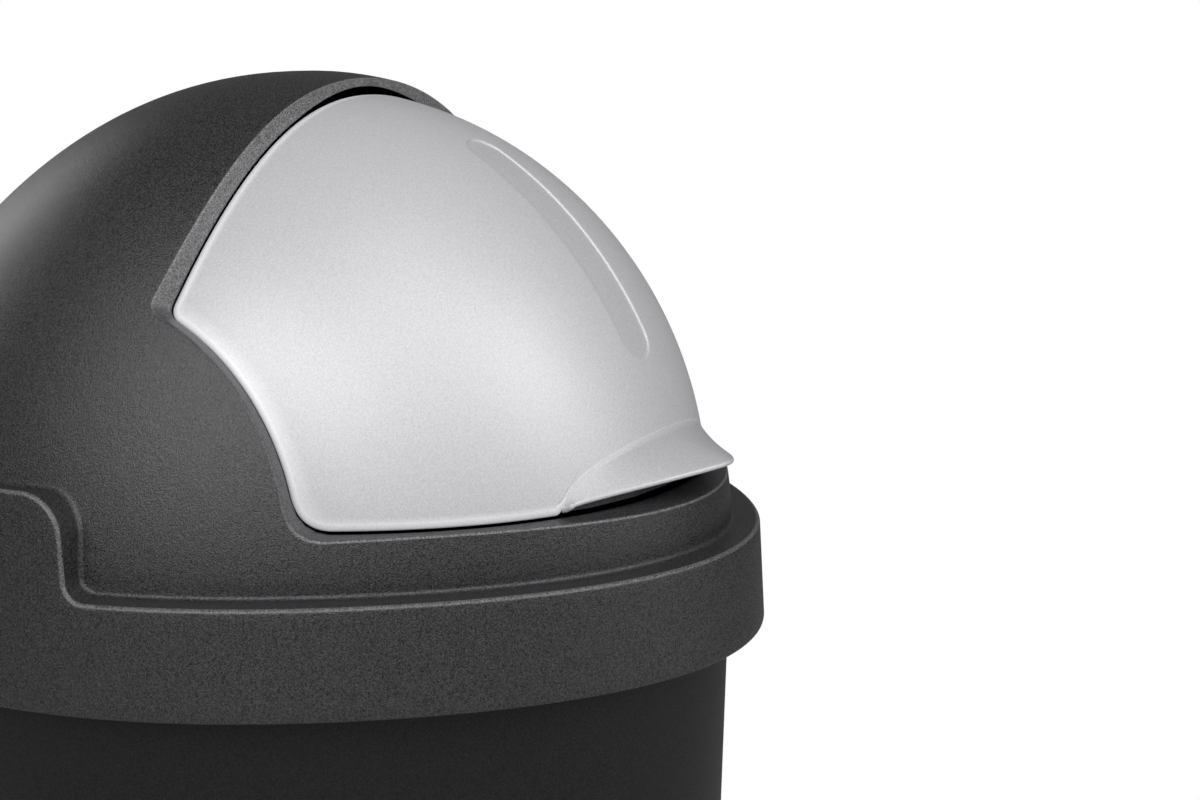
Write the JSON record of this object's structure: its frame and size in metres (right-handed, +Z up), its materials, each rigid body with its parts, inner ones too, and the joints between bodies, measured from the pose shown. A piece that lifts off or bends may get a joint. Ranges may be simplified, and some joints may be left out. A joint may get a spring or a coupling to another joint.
{
  "type": "dome top waste receptacle",
  "caption": "Tall tapered oval bin with a lift-off dome top, whose front is a flap with a finger lip that rolls back under the dome.",
  "frame": {"origin": "middle of the foot ring, on the floor", "axes": "+Z up, the flap and its lip face -Y, the flap's pivots lie along X"},
  "size_m": [0.34, 0.406, 0.668],
  "materials": {
    "body_plastic": "fine-grained matte charcoal",
    "hood_plastic": "fine-grained matte charcoal",
    "flap_silver": "satin silver-pigmented plastic",
    "inner_plastic": "plain dark moulding"
  },
  "bodies": {
    "root": {"bin_body": "body_plastic"},
    "lid": {"hood": "hood_plastic", "pivot_pin_left": "inner_plastic", "pivot_pin_right": "inner_plastic"},
    "flap": {"flap_shell": "flap_silver", "flap_carrier": "inner_plastic"}
  },
  "joints": [
    {"name": "lid_lift", "type": "slide", "parent": "root", "child": "lid", "axis": [0, 0, 1], "range_m": [0, 0.12]},
    {"name": "flap_roll", "type": "hinge", "parent": "lid", "child": "flap", "pos_m": [0, -0.0186, 0.503], "axis": [-1, 0, 0], "range_deg": [0, 65]}
  ]
}
